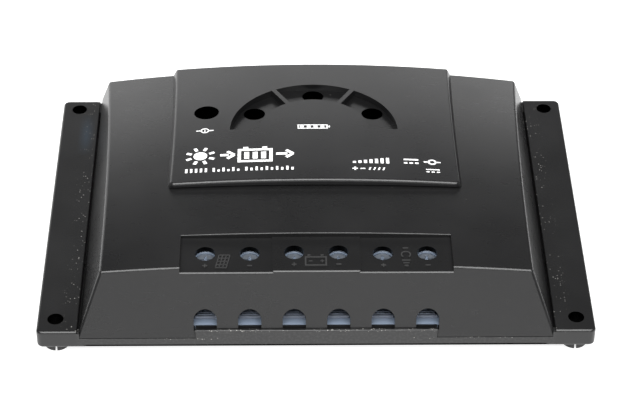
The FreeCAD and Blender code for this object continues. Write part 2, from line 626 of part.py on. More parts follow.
def mosfet_frame(x):
    """Copper tab and three legs of a power transistor."""
    tab = box(x - 5.0, x + 5.0, -10.0, 3.0, TAB_Z, TAB_Z + TAB_T)
    tab = tab.cut(rod(x, TAB_SCREW_Y, 0, 20, 3.3))
    legs = []
    for k in (-1, 0, 1):
        leg_x = x + 2.54 * k
        z = TAB_Z + TAB_T + 1.0
        run = box(leg_x - 0.4, leg_x + 0.4, -15.0, -10.0 - 0.6, z, z + 0.5)
        drop = box(leg_x - 0.4, leg_x + 0.4, -15.0, -14.5, BOARD_TOP, z + 0.5)
        legs.append(run.fuse(drop))
    stem = box(x - 0.4, x + 0.4, -11.0, -9.5, TAB_Z + TAB_T - 0.3, TAB_Z + TAB_T + 1.5)
    bridge = box(x - 3.0, x + 3.0, -11.4, -10.6, TAB_Z + TAB_T + 1.0, TAB_Z + TAB_T + 1.5)
    return fuse([tab, stem, bridge] + legs)


def mosfet_body(x):
    """Moulded epoxy over the frame."""
    body = box(x - 5.1, x + 5.1, -12.2, -3.4, TAB_Z, TAB_Z + 4.4)
    body = rounded(body, 0.4, lambda p: p.z > TAB_Z + 4.39)
    dimple = rod(x - 3.2, -5.2, TAB_Z + 4.2, TAB_Z + 5, 1.4)
    return body.cut(mosfet_frame(x)).cut(dimple)


def tab_screws():
    screws = []
    for x in MOSFET_X:
        z = TAB_Z + TAB_T
        head = rounded(rod(x, TAB_SCREW_Y, z, z + 1.9, 3.6), 0.5, lambda p: p.z > z + 1.89)
        slot = box(x - 2, x + 2, TAB_SCREW_Y - 0.3, TAB_SCREW_Y + 0.3, z + 1.0, z + 3)
        screws.append(head.cut(slot).fuse(rod(x, TAB_SCREW_Y, BOARD_BOTTOM + 0.4, z, 3.0)).removeSplitter())
    return Part.makeCompound(screws)


# ---- Small electronics --------------------------------------------------------------------------------
def capacitor_can(x, y, diameter, height):
    """Aluminium electrolytic can with its rolled groove and scored top."""
    z0 = BOARD_TOP + 0.3
    can = rounded(rod(x, y, z0, z0 + height, diameter), 0.6, lambda p: True)
    groove = Part.makeTorus(diameter / 2.0 + 0.25, 0.7, Vector(x, y, z0 + 1.9))
    score = box(x - 2.6, x + 2.6, y - 0.15, y + 0.15, z0 + height - 0.15, z0 + height + 1)
    cross = box(x - 0.15, x + 0.15, y - 2.6, y + 2.6, z0 + height - 0.15, z0 + height + 1)
    legs = [rod(x + s * 2.5, y, BOARD_TOP, z0 + 0.5, 0.6) for s in (-1, 1)]
    return fuse([can.cut(groove).cut(score).cut(cross)] + legs)


CONTROLLER_XY = (-44.0, 2.0)
CONTROLLER_SIZE = (7.5, 12.8)
PIN_PITCH = 1.27


def microcontroller():
    x, y = CONTROLLER_XY
    w, length = CONTROLLER_SIZE
    body = box(x - w / 2, x + w / 2, y - length / 2, y + length / 2, BOARD_TOP + 0.2, BOARD_TOP + 2.5)
    body = body.makeChamfer(0.3, edges_where(body, lambda p: p.z > BOARD_TOP + 2.49))
    return body.cut(rod(x - 2.4, y + 5.1, BOARD_TOP + 2.35, BOARD_TOP + 3, 1.2))


def microcontroller_pins():
    """Twenty gull-wing pins, one group."""
    x, y = CONTROLLER_XY
    w = CONTROLLER_SIZE[0]
    pins = []
    for side in (-1, 1):
        for k in range(10):
            py = y + PIN_PITCH * (k - 4.5)
            outline = [(0, 1.1), (0.6, 1.1), (1.0, 0.0), (1.7, 0.0)]
            outline += [(1.7, 0.25), (1.2, 0.25), (0.75, 1.35), (0, 1.35)]
            corners = [Vector(x + side * (w / 2 + dx), py - 0.2, BOARD_TOP + dz) for dx, dz in outline]
            face = Part.Face(Part.makePolygon(corners + corners[:1]))
            pins.append(face.extrude(Vector(0, 0.4, 0)))
    return Part.makeCompound(pins)


def voltage_regulator():
    """Surface-mount regulator with its three feet and tab."""
    x, y = -43.0, 17.0
    body = box(x - 3.3, x + 3.3, y - 1.8, y + 1.8, BOARD_TOP + 0.1, BOARD_TOP + 1.7)
    body = rounded(body, 0.25, lambda p: p.z > BOARD_TOP + 1.69)
    feet = []
    for foot_x in (x - 2.3, x, x + 2.3):
        feet.append(box(foot_x - 0.35, foot_x + 0.35, y - 3.4, y - 1.7, BOARD_TOP, BOARD_TOP + 0.3))
    feet.append(box(x - 1.5, x + 1.5, y + 1.7, y + 3.4, BOARD_TOP, BOARD_TOP + 0.3))
    return fuse([body] + feet)


def shunt_resistor():
    """Flat resistance strip bent over between two solder feet."""
    y, t, w = -22.0, 0.9, 3.0
    top = box(-7, 7, y - w / 2, y + w / 2, BOARD_TOP + 3.1, BOARD_TOP + 3.1 + t)
    feet = []
    for foot_x in (-7.0, 7.0):
        x0 = foot_x - t / 2
        feet.append(box(x0, x0 + t, y - w / 2, y + w / 2, BOARD_TOP, BOARD_TOP + 3.1 + t))
    strip = fuse([top] + feet)
    return rounded(strip, 0.6, lambda p: p.z > BOARD_TOP + 3.09 + t and abs(p.x) > 7.0 + t / 2 - 0.01)


def axial_diode(x, y):
    """Fat axial diode lying on the board with its bent wires."""
    z = BOARD_TOP + 3.0
    body = Part.makeCylinder(2.6, 9.0, Vector(x - 4.5, y, z), Vector(1, 0, 0))
    body = rounded(body, 0.5, lambda p: True)
    wires = []
    for side in (-1, 1):
        run = Part.makeCylinder(0.6, 3.0, Vector(x + side * 4.0, y, z), Vector(side, 0, 0))
        bend = Part.makeSphere(0.6, Vector(x + side * 7.0, y, z))
        drop = rod(x + side * 7.0, y, BOARD_TOP, z, 1.2)
        wires += [run, bend, drop]
    return fuse([body] + wires)


def resonator():
    x, y = -33.5, -18.0
    can = box(x - 3.0, x + 3.0, y - 1.6, y + 1.6, BOARD_TOP + 0.1, BOARD_TOP + 3.4)
    can = rounded(can, 1.5, lambda p: abs(p.x - x) > 2.99 and abs(p.y - y) > 1.59)
    brim = box(x - 3.4, x + 3.4, y - 2.0, y + 2.0, BOARD_TOP, BOARD_TOP + 0.5)
    brim = rounded(brim, 1.8, lambda p: abs(p.x - x) > 3.39 and abs(p.y - y) > 1.99)
    return fuse([can, brim])


def temperature_sensor():
    """Bead thermistor on two legs."""
    x, y = 44.0, -34.0
    bead = Part.makeSphere(1.5, Vector(x, y, BOARD_TOP + 4.0))
    legs = [rod(x + s * 0.9, y, BOARD_TOP, BOARD_TOP + 3.6, 0.5) for s in (-1, 1)]
    return fuse([bead] + legs)


def chip(x, y, length, width, height, along_x):
    dx, dy = (length, width) if along_x else (width, length)
    body = box(x - dx / 2, x + dx / 2, y - dy / 2, y + dy / 2, BOARD_TOP, BOARD_TOP + height)
    return rounded(body, 0.08, lambda p: p.z > BOARD_TOP + height - 0.01)


def chip_resistors():
    """Flat chip resistors in three rows, one group."""
    chips = [chip(-48 + 4.0 * k, 27.5, 3.2, 1.6, 0.6, False) for k in range(4)]
    chips += [chip(-30 + 4.5 * k, 12.0, 3.2, 1.6, 0.6, True) for k in range(3)]
    chips += [chip(14 + 4.5 * k, 12.0, 3.2, 1.6, 0.6, True) for k in range(5)]
    chips += [chip(26 + 4.0 * k, -22.0, 3.2, 1.6, 0.6, False) for k in range(3)]
    return Part.makeCompound(chips)


def chip_capacitors():
    """Small ceramic chip capacitors, one group."""
    chips = [chip(-48 + 4.0 * k, -12.0, 2.0, 1.3, 1.0, False) for k in range(4)]
    chips += [chip(-36.0, 8.0 + 3.0 * k, 2.0, 1.3, 1.0, True) for k in range(2)]
    chips += [chip(30 + 3.6 * k, 17.0, 2.0, 1.3, 1.0, False) for k in range(5)]
    return Part.makeCompound(chips)


# ---- All sub-parts ------------------------------------------------------------------------------------
def sub_parts():
    lamps = led_places()
    parts = {
        "base_tray": base_tray(),
        "front_cover": front_cover(),
        "display_panel": display_panel(),
        "circuit_board": circuit_board(),
        "board_screws": board_screws(),
        "info_led": lamp(*INFO_XY),
        "info_led_spacer": lamp_spacer(*INFO_XY),
        "heat_spreader": heat_spreader(),
        "insulating_pad": insulating_pad(),
        "tab_screws": tab_screws(),
        "input_capacitor": capacitor_can(44.0, -8.0, 10.0, 11.0),
        "output_capacitor": capacitor_can(44.0, 6.0, 10.0, 11.0),
        "logic_capacitor": capacitor_can(-47.0, 34.0, 5.0, 8.0),
        "microcontroller": microcontroller(),
        "microcontroller_pins": microcontroller_pins(),
        "voltage_regulator": voltage_regulator(),
        "shunt_resistor": shunt_resistor(),
        "input_surge_diode": axial_diode(-21.0, -22.0),
        "output_surge_diode": axial_diode(17.0, -22.0),
        "resonator": resonator(),
        "temperature_sensor": temperature_sensor(),
        "chip_resistors": chip_resistors(),
        "chip_capacitors": chip_capacitors(),
    }
    for name, x in zip(("solar", "battery", "load"), BLOCK_X):
        parts["terminal_housing_" + name] = terminal_housing(x)
    for number, x in enumerate(POLE_X, 1):
        parts["terminal_screw_%d" % number] = terminal_screw(x)
        parts["clamp_cage_%d" % number] = clamp_cage(x)
        parts["current_bar_%d" % number] = current_bar(x)
    for number, (x, y) in enumerate(lamps, 1):
        parts["battery_led_%d" % number] = lamp(x, y)
        parts["battery_led_spacer_%d" % number] = lamp_spacer(x, y)
    for number, x in enumerate(MOSFET_X, 1):
        parts["mosfet_frame_%d" % number] = mosfet_frame(x)
        parts["mosfet_body_%d" % number] = mosfet_body(x)
    return parts


os.makedirs("parts", exist_ok=True)
for node, shape in sub_parts().items():
    shape.exportStep("parts/%s.step" % node)
    summary = (node, len(shape.Solids), shape.isValid(), shape.Volume)
    print("%-24s solids %2d  valid %s  volume %9.1f" % summary)
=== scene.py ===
import json
import math

import bmesh
import bpy
from mathutils import Matrix, Vector
from mathutils.bvhtree import BVHTree


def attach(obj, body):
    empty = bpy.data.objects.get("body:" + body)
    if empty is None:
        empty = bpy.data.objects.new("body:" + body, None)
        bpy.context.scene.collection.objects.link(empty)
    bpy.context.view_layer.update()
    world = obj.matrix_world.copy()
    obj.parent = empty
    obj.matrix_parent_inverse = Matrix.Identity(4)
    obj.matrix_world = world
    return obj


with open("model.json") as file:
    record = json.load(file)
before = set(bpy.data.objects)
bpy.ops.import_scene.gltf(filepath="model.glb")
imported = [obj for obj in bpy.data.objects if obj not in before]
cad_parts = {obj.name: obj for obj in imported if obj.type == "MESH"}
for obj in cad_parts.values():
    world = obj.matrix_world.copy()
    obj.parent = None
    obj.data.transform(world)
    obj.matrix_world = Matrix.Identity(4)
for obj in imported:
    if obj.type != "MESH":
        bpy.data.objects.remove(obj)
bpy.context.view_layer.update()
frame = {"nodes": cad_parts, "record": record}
NODES = frame["nodes"]
HOLES = next(m for m in frame["record"]["mounts"] if m["name"] == "mounting_holes")["dims"]

MM = 0.001
BODY = "controller"
PITCH = 11.5                # between terminal poles, mm
POLE_X = [PITCH * (i - 2.5) for i in range(6)]
HOLE_X = HOLES["spacing_x_mm"] / 2.0
HOLE_Y = HOLES["spacing_y_mm"] / 2.0    # the pattern sits 0.5 mm off this, towards the back
FRONT_Y = 50.0              # the base's front face, from the middle, mm
ABOVE_FEET = 2.8            # just over the top of the feet, mm
SIGN_Y = -40.75             # plus and minus signs in front of the screw holes
PRINT = (-0.03, 0.03)       # depth and height of printed ink, mm
RELIEF = (-0.06, 0.20)      # and of moulded signs
COVER_WELLS = ((0.0, -36.0, 33.0, 3.2), (0.0, 26.0, 36.0, 14.0))    # x, y and half widths of the wells whose upright walls get painted shade, mm
# The panel's well round its info hole also gets painted shade on its walls.
PANEL_WELLS = ((-29.9, 24.6, 3.8, 3.8),)
WELL_FLOOR = 16.5           # painted shade goes on well walls above this height, mm
RAY_START = 60.0            # above every surface, mm
PATCH_LENGTH = 1.2          # longest patch along a stroke, mm
RING_PATCHES = 40
FLOOR_SIZE = 3.0            # m
FLOOR_DROP = 0.00005        # keeps the floor just clear of the feet, m

# Near-black painted where walls stand in deep shade; with metallic on as well, it reflects next to nothing.
PAINTED_SHADE = (0.0006, 0.0006, 0.0006)
DUST = (0.22, 0.21, 0.20)
TIN = (0.62, 0.61, 0.58)


# ---- Camera, floor and light --------------------------------------------------------------------------
def unit(v):
    return v / v.length


def make_camera():
    """Looks down on the terminal side from a little left of the centre line."""
    azimuth = math.radians(-1.25)
    elevation = math.radians(39.42)
    roll = math.radians(0.607)
    distance = 0.604
    target = Vector((1.64, 0.70, 8.0)) * MM
    back = Vector((
        math.sin(azimuth) * math.cos(elevation),
        -math.cos(azimuth) * math.cos(elevation),
        math.sin(elevation),
    ))
    level = unit((-back).cross(Vector((0, 0, 1))))
    upright = level.cross(-back)
    right = level * math.cos(roll) + upright * math.sin(roll)
    up = upright * math.cos(roll) - level * math.sin(roll)
    data = bpy.data.cameras.new("camera")
    data.sensor_width = 36.0
    data.lens = 123.0
    data.clip_start = 0.01
    camera = bpy.data.objects.new("camera", data)
    bpy.context.scene.collection.objects.link(camera)
    place = target + back * distance
    rows = [(right[k], up[k], back[k], place[k]) for k in range(3)]
    camera.matrix_world = Matrix((*rows, (0.0, 0.0, 0.0, 1.0)))
    bpy.context.scene.camera = camera


def area_light(name, place, aim, size, radiance):
    """A soft rectangular light whose face has the given radiance."""
    data = bpy.data.lights.new(name, "AREA")
    data.shape = "RECTANGLE"
    data.size, data.size_y = size
    data.energy = radiance * math.pi * size[0] * size[1]
    light = bpy.data.objects.new(name, data)
    bpy.context.scene.collection.objects.link(light)
    light.location = place
    light.rotation_euler = (Vector(aim) - Vector(place)).to_track_quat("-Z", "Y").to_euler()
    light.visible_camera = False


def make_stage():
    """A plain pale table, a soft box overhead, and a card of light low behind and low in front."""
    mesh = bpy.data.meshes.new("floor")
    half = FLOOR_SIZE / 2.0
    corners = [(-half, -half, 0), (half, -half, 0), (half, half, 0), (-half, half, 0)]
    mesh.from_pydata(corners, [], [(0, 1, 2, 3)])
    floor = bpy.data.objects.new("floor", mesh)
    floor.location.z = -FLOOR_DROP
    bpy.context.scene.collection.objects.link(floor)
    nodes = Shader("white_table", roughness=0.6)
    paper = nodes.noise(12.0, 3.0)
    nodes.set("Base Color", nodes.mix(paper, (0.38, 0.38, 0.38), (0.40, 0.40, 0.40)))
    nodes.set("Emission Color", (1.0, 1.0, 1.0, 1.0))
    nodes.set("Emission Strength", 0.86)
    mesh.materials.append(nodes.material)
    area_light(
        "overhead",
        place=(0.0, -0.50, 1.1),
        aim=(0.0, -0.10, 0.0),
        size=(1.4, 1.1),
        radiance=8.0,
    )
    area_light(
        "card_behind",
        place=(-0.20, 0.85, 0.21),
        aim=(-0.05, 0.0, 0.10),
        size=(1.2, 0.42),
        radiance=1.6,
    )
    area_light(
        "card_in_front",
        place=(0.0, -0.95, 0.20),
        aim=(0.0, 0.0, 0.05),
        size=(0.9, 0.36),
        radiance=1.4,
    )
    world = bpy.data.worlds.new("studio")
    world.use_nodes = True
    world.node_tree.nodes["Background"].inputs[0].default_value = (0.18, 0.18, 0.183, 1.0)
    bpy.context.scene.world = world
    bpy.context.scene.view_settings.view_transform = "Standard"


# ---- Materials ----------------------------------------------------------------------------------------
class Shader:
    """A principled material whose inputs are set by name and fed by short node calls."""

    def __init__(self, name, roughness=0.5, metallic=0.0, coat=0.0, transmission=0.0):
        self.material = bpy.data.materials.new(name)
        self.material.use_nodes = True
        self.tree = self.material.node_tree
        self.tree.nodes.clear()
        self.principled = self.tree.nodes.new("ShaderNodeBsdfPrincipled")
        output = self.tree.nodes.new("ShaderNodeOutputMaterial")
        self.tree.links.new(self.principled.outputs[0], output.inputs[0])
        self.coordinates = self.tree.nodes.new("ShaderNodeTexCoord").outputs["Object"]
        self.principled.inputs["Roughness"].default_value = roughness
        self.principled.inputs["Metallic"].default_value = metallic
        self.principled.inputs["Coat Weight"].default_value = coat
        self.principled.inputs["Transmission Weight"].default_value = transmission

    def set(self, name, value):
        self.feed(self.principled.inputs[name], value)

    def feed(self, socket, value):
        """Links a socket's output, or sets a plain value."""
        if hasattr(value, "is_linked"):
            self.tree.links.new(value, socket)
        elif isinstance(value, tuple) and len(value) == 3 and socket.type == "RGBA":
            socket.default_value = (*value, 1.0)
        else:
            socket.default_value = value

    def stretched(self, scale):
        """Object coordinates scaled along each axis."""
        node = self.tree.nodes.new("ShaderNodeMapping")
        node.inputs["Scale"].default_value = scale
        self.tree.links.new(self.coordinates, node.inputs[0])
        return node.outputs[0]

    def noise(self, scale, detail=2.0, vector=None, distortion=0.0):
        """Noise between 0 and 1; scale is in cells per metre."""
        node = self.tree.nodes.new("ShaderNodeTexNoise")
        node.inputs["Scale"].default_value = scale
        node.inputs["Detail"].default_value = detail
        node.inputs["Distortion"].default_value = distortion
        self.tree.links.new(vector or self.coordinates, node.inputs["Vector"])
        return node.outputs["Fac"]

    def cells(self, scale, vector=None):
        """Distance to the nearest cell centre, and a random value for each cell."""
        node = self.tree.nodes.new("ShaderNodeTexVoronoi")
        node.inputs["Scale"].default_value = scale
        self.tree.links.new(vector or self.coordinates, node.inputs["Vector"])
        split = self.tree.nodes.new("ShaderNodeSeparateColor")
        self.tree.links.new(node.outputs["Color"], split.inputs[0])
        return node.outputs["Distance"], split.outputs[0]

    def math(self, operation, a, b=0.0, clamp=False):
        node = self.tree.nodes.new("ShaderNodeMath")
        node.operation = operation
        node.use_clamp = clamp
        self.feed(node.inputs[0], a)
        self.feed(node.inputs[1], b)
        return node.outputs[0]

    def ramp(self, source, low, high, out_low=0.0, out_high=1.0):
        """Straight ramp from low..high to out_low..out_high, held flat outside."""
        node = self.tree.nodes.new("ShaderNodeMapRange")
        for socket, value in zip(node.inputs[1:5], (low, high, out_low, out_high)):
            socket.default_value = value
        self.tree.links.new(source, node.inputs[0])
        return node.outputs[0]

    def mix(self, share, a, b):
        """Colour a where share is 0, colour b where it is 1."""
        node = self.tree.nodes.new("ShaderNodeMix")
        node.data_type = "RGBA"
        self.feed(node.inputs[0], share)
        self.feed(node.inputs[6], a)
        self.feed(node.inputs[7], b)
        return node.outputs[2]

    def axis(self, which):
        """One object coordinate, in metres."""
        split = self.tree.nodes.new("ShaderNodeSeparateXYZ")
        self.tree.links.new(self.coordinates, split.inputs[0])
        return split.outputs["XYZ".index(which)]

    def facing(self, which):
        """How far the surface faces along one axis of the object."""
        geometry = self.tree.nodes.new("ShaderNodeNewGeometry")
        split = self.tree.nodes.new("ShaderNodeSeparateXYZ")
        self.tree.links.new(geometry.outputs["Normal"], split.inputs[0])
        return self.math("ABSOLUTE", split.outputs["XYZ".index(which)])

    def bump(self, height, depth):
        """Relief of the given depth in metres."""
        node = self.tree.nodes.new("ShaderNodeBump")
        node.inputs["Strength"].default_value = 1.0
        node.inputs["Distance"].default_value = depth
        self.feed(node.inputs["Height"], height)
        self.set("Normal", node.outputs[0])


def both(shader, *masks):
    """The product of several masks."""
    product = masks[0]
    for mask in masks[1:]:
        product = shader.math("MULTIPLY", product, mask)
    return product


def near(shader, which, middle, reach, soft=0.3, both_sides=True):
    """1 within reach of a place along an axis, and of its mirror image if both_sides; in millimetres."""
    value = shader.axis(which)
    if both_sides:
        value = shader.math("ABSOLUTE", value)
    offset = shader.math("ABSOLUTE", shader.math("ADD", value, -middle * MM))
    return shader.ramp(offset, (reach - soft) * MM, (reach + soft) * MM, 1.0, 0.0)


def well_walls(shader, wells):
    """1 on upright walls within any of the wells, where shade is painted; 0 elsewhere and where there are no
    wells.
    """
    found = shader.math("MULTIPLY", shader.axis("Z"), 0.0)
    for x, y, half_x, half_y in wells:
        inside_x = near(shader, "X", x, half_x, both_sides=False)
        inside_y = near(shader, "Y", y, half_y, both_sides=False)
        found = shader.math("MAXIMUM", found, both(shader, inside_x, inside_y))
    upright = shader.math("LESS_THAN", shader.facing("Z"), 0.5)
    above = shader.math("GREATER_THAN", shader.axis("Z"), WELL_FLOOR * MM)
    return both(shader, found, upright, above)


def specks(shader, per_metre, keep, size):
    """Dust: round dots of uneven size in some of the cells."""
    distance, chance = shader.cells(per_metre)
    reach = shader.math("MULTIPLY", shader.math("SUBTRACT", chance, 1.0 - keep), size / keep)
    return shader.math("LESS_THAN", distance, reach)


def sparkles(shader, per_metre, keep, patchy):
    """Tiny spots in about this share of the cells, thinner in some places, where bright glints are painted.
    """
    distance, chance = shader.cells(per_metre)
    chosen = shader.math("GREATER_THAN", chance, 1.0 - keep)
    there = shader.ramp(shader.noise(patchy, 2.0), 0.42, 0.56)
    return both(shader, chosen, shader.math("LESS_THAN", distance, 0.30), there)


def satin_black(name, dark, light, roughness, grain, wells=()):
    """Moulded black plastic: spark-eroded grain, cloudy sheen, rub marks, dust, and painted shade on the
    walls in wells.
    """
    shader = Shader(name, roughness=roughness)
    cloud = shader.noise(45.0, 4.0)
    fine = shader.noise(2600.0, 3.0)
    rub = shader.noise(1.0, 5.0, shader.stretched((260.0, 1700.0, 900.0)), 0.4)
    rub = shader.ramp(rub, 0.60, 0.74)
    large_dust = specks(shader, per_metre=190.0, keep=0.14, size=0.040)
    small_dust = specks(shader, per_metre=620.0, keep=0.04, size=0.08)
    dust = shader.math("MAXIMUM", large_dust, small_dust)
    rub_and_highlight_tone = tuple(c * 1.9 for c in light)
    colour = shader.mix(cloud, dark, light)
    colour = shader.mix(shader.math("MULTIPLY", rub, 0.35), colour, rub_and_highlight_tone)
    colour = shader.mix(shader.math("MULTIPLY", dust, 0.40), colour, DUST)
    # Painted shade: upright walls deep in the wells turn near-black and metallic, so they reflect next to
    # nothing.
    painted_well_shade = well_walls(shader, wells)
    shader.set("Base Color", shader.mix(painted_well_shade, colour, PAINTED_SHADE))
    rough = shader.ramp(cloud, 0.3, 0.7, roughness - 0.035, roughness + 0.035)
    rough = shader.math("ADD", rough, shader.math("MULTIPLY", rub, -0.05))
    rough = shader.math("ADD", rough, shader.math("MULTIPLY", dust, 0.35), True)
    shader.set("Roughness", rough)
    shader.set("Metallic", painted_well_shade)
    height = shader.math("ADD", fine, shader.math("MULTIPLY", dust, 1.2))
    shader.bump(height, grain)
    return shader.material


def front_band(shader, front, level, half_height, middle, half_width):
    """1 on a level band of the base's front face and on its mirror image, in millimetres."""
    in_height = near(shader, "Z", level, half_height, 0.1)
    in_width = near(shader, "X", middle, half_width)
    return both(shader, front, in_height, in_width)


def edge_nicks_and_glints(shader, front):
    """Nicks on the tongue's top edge and the joint, painted bright as glints, and dust specks along the
    flanges' inner edges, also painted bright as glints.
    """
    tongue_top = front_band(shader, front, level=8.3, half_height=0.35, middle=0.0, half_width=31.3)
    joint = front_band(shader, front, level=5.6, half_height=0.25, middle=38.0, half_width=13.0)
    edges = shader.math("MAXIMUM", tongue_top, joint)
    nicks_and_glints = both(shader, sparkles(shader, per_metre=2000.0, keep=0.60, patchy=120.0), edges)
    inner_x = near(shader, "X", middle=62.8, reach=2.4, soft=1.6)
    flange_top = near(shader, "Z", middle=8.0, reach=0.5)
    dust_and_glint_specks = sparkles(shader, per_metre=1800.0, keep=0.16, patchy=160.0)
    # Dust specks along the flanges' inner edges, painted bright as glints too.
    dust = both(shader, dust_and_glint_specks, inner_x, flange_top, 0.55)
    return shader.math("MAXIMUM", nicks_and_glints, dust)


def flange_polish_and_sheen(shader):
    """1 on a patch of the left flange, towards the back, that is polished and painted with a bluish
    reflection.
    """
    across = near(shader, "X", middle=65.0, reach=1.2, soft=1.2)
    along = near(shader, "Y", middle=34.0, reach=6.0, soft=4.0)
    left = shader.math("LESS_THAN", shader.axis("X"), 0.0)
    back = shader.math("GREATER_THAN", shader.axis("Y"), 0.0)
    return both(shader, across, along, left, back)


def base_shadows(shader, front):
    """1 on the walls of the mounting bores above the feet, and on the step under the front strip, where
    shade is painted.
    """
    upright = shader.math("LESS_THAN", shader.facing("Z"), 0.7)
    bore_x = near(shader, "X", middle=HOLE_X, reach=2.3)
    bore_y = near(shader, "Y", middle=HOLE_Y, reach=2.9)
    over_feet = shader.math("GREATER_THAN", shader.axis("Z"), ABOVE_FEET * MM)
    bore = both(shader, upright, bore_x, bore_y, over_feet)
    step = front_band(shader, front, level=2.0, half_height=1.65, middle=0.0, half_width=60.0)
    return shader.math("MAXIMUM", bore, step)


def base_black():
    """The base's plastic: coarser grain, a mottled front, nicks painted bright as glints, a polished patch
    with a painted bluish reflection, and painted shade in the bores and on the step under its strip.
    """
    shader = Shader("base_plastic", roughness=0.31)
    cloud = shader.noise(60.0, 4.0)
    fine = shader.noise(1900.0, 3.0)
    front = near(shader, "Y", middle=FRONT_Y, reach=1.0)
    mottle = shader.ramp(shader.noise(1500.0, 2.0), 0.45, 0.70, 0.0, 0.7)
    strip = both(shader, front, near(shader, "X", middle=0.0, reach=62.0), mottle)
    nicks_and_glints = edge_nicks_and_glints(shader, front)
    polish_and_sheen = flange_polish_and_sheen(shader)
    dark = base_shadows(shader, front)
    colour = shader.mix(cloud, (0.0042, 0.0042, 0.0043), (0.0066, 0.0066, 0.0068))
    colour = shader.mix(shader.math("MULTIPLY", strip, 0.10), colour, (0.20, 0.20, 0.20))
    # Painted reflection: a bluish tint on the flange's polished patch.
    colour = shader.mix(shader.math("MULTIPLY", polish_and_sheen, 0.5), colour, (0.024, 0.036, 0.050))
    # Painted glints: the nicks and the flange specks are coloured pale.
    colour = shader.mix(shader.math("MULTIPLY", nicks_and_glints, 0.8), colour, (0.34, 0.33, 0.31))
    # Painted shade: near-black and metallic in the bores and on the step under the strip.
    shader.set("Base Color", shader.mix(dark, colour, PAINTED_SHADE))
    rough = shader.ramp(cloud, 0.3, 0.7, 0.28, 0.35)
    rough = shader.math("ADD", rough, shader.math("MULTIPLY", polish_and_sheen, -0.06))
    shader.set("Roughness", rough)
    shader.set("Metallic", dark)
    shader.bump(shader.math("ADD", fine, shader.math("MULTIPLY", nicks_and_glints, 1.5)), 0.000016)
    return shader.material


def terminal_plastic():
    """Blue-grey polyamide with faint flow lines."""
    shader = Shader("terminal_plastic", roughness=0.42)
    cloud = shader.noise(160.0, 4.0)
    flow = shader.noise(1.0, 3.0, shader.stretched((300.0, 300.0, 1400.0)))
    shader.set("Base Color", shader.mix(cloud, (0.125, 0.16, 0.215), (0.17, 0.205, 0.26)))
    shader.set("Roughness", shader.ramp(flow, 0.3, 0.7, 0.36, 0.50))
    shader.bump(shader.noise(3000.0, 2.0), 0.00001)
    return shader.material


def plated_metal(name, dark, light, roughness, brush=(900.0, 900.0, 6000.0), metallic=1.0):
    """Plated or bare metal with brushed or tumbled streaks and patches of darker and lighter tone."""
    shader = Shader(name, roughness=roughness, metallic=metallic)
    streaks = shader.noise(1.0, 4.0, shader.stretched(brush))
    patches = shader.noise(350.0, 3.0)
    shader.set("Base Color", shader.mix(patches, dark, light))
    shader.set("Roughness", shader.ramp(streaks, 0.25, 0.75, roughness - 0.09, roughness + 0.12))
    shader.bump(streaks, 0.000006)
    return shader.material


def cage_zinc():
    """Zinc plate with painted shade inside the clamp and a painted highlight along the front of its lip."""
    shader = Shader("cage_zinc", roughness=0.40)
    streaks = shader.noise(2400.0, 4.0)
    patches = shader.noise(700.0, 3.0)
    # 1 along the front of the lip, where a highlight is painted; 0 further in, where shade is painted.
    front = shader.ramp(shader.axis("Y"), -44.4 * MM, -43.6 * MM, 1.0, 0.0)
    shaded_zinc = shader.mix(patches, (0.030, 0.034, 0.042), (0.070, 0.080, 0.100))
    rub_and_highlight_tone = shader.mix(patches, (0.22, 0.25, 0.31), (0.40, 0.44, 0.52))
    shader.set("Base Color", shader.mix(front, shaded_zinc, rub_and_highlight_tone))
    # Less metallic at the front, so that the painted highlight shows brighter.
    shader.set("Metallic", shader.ramp(front, 0.0, 1.0, 1.0, 0.3))
    shader.set("Roughness", shader.ramp(streaks, 0.25, 0.75, 0.32, 0.52))
    shader.bump(streaks, 0.000006)
    return shader.material


def solder_mask_board():
    """Green solder mask over copper tracks, with tinned pads showing here and there."""
    shader = Shader("solder_mask", roughness=0.28, coat=0.3)
    weave = shader.noise(1400.0, 2.0)
    distance, chance = shader.cells(170.0, shader.stretched((1.0, 1.0, 0.01)))
    track = shader.ramp(shader.noise(1.0, 1.0, shader.stretched((160.0, 160.0, 0.1))), 0.49, 0.51)
    pad = both(shader, shader.math("LESS_THAN", distance, 0.10), shader.math("GREATER_THAN", chance, 0.6))
    mask = shader.mix(track, (0.012, 0.085, 0.035), (0.028, 0.150, 0.060))
    colour = shader.mix(shader.math("MULTIPLY", weave, 0.2), mask, (0.05, 0.19, 0.09))
    shader.set("Base Color", shader.mix(pad, colour, TIN))
    shader.set("Metallic", pad)
    shader.bump(shader.math("ADD", track, pad), 0.00003)
    return shader.material


def tinted_lens(name, pale, deep):
    """Diffused lamp epoxy with a slightly uneven tint."""
    shader = Shader(name, roughness=0.18, coat=0.2, transmission=0.35)
    cloud = shader.noise(900.0, 3.0)
    shader.set("Base Color", shader.mix(cloud, pale, deep))
    shader.set("Roughness", shader.ramp(cloud, 0.2, 0.8, 0.12, 0.28))
    return shader.material


def sleeved_can():
    """Dark shrink sleeve with a bare top, and a pale stripe along the two large cans."""
    stripe_x = 45.2 * MM
    stripe_half = 1.1 * MM
    shader = Shader("sleeved_can", roughness=0.3)
    cloud = shader.noise(500.0, 3.0)
    top = shader.math("GREATER_THAN", shader.facing("Z"), 0.9)
    aside = shader.math("ABSOLUTE", shader.math("ADD", shader.axis("X"), -stripe_x))
    stripe = shader.math("LESS_THAN", aside, stripe_half)
    sleeve = shader.mix(cloud, (0.012, 0.016, 0.045), (0.02, 0.028, 0.07))
    sleeve = shader.mix(stripe, sleeve, (0.45, 0.47, 0.50))
    shader.set("Base Color", shader.mix(top, sleeve, (0.66, 0.67, 0.69)))
    shader.set("Metallic", top)
    shader.set("Roughness", shader.ramp(cloud, 0.2, 0.8, 0.24, 0.38))
    return shader.material


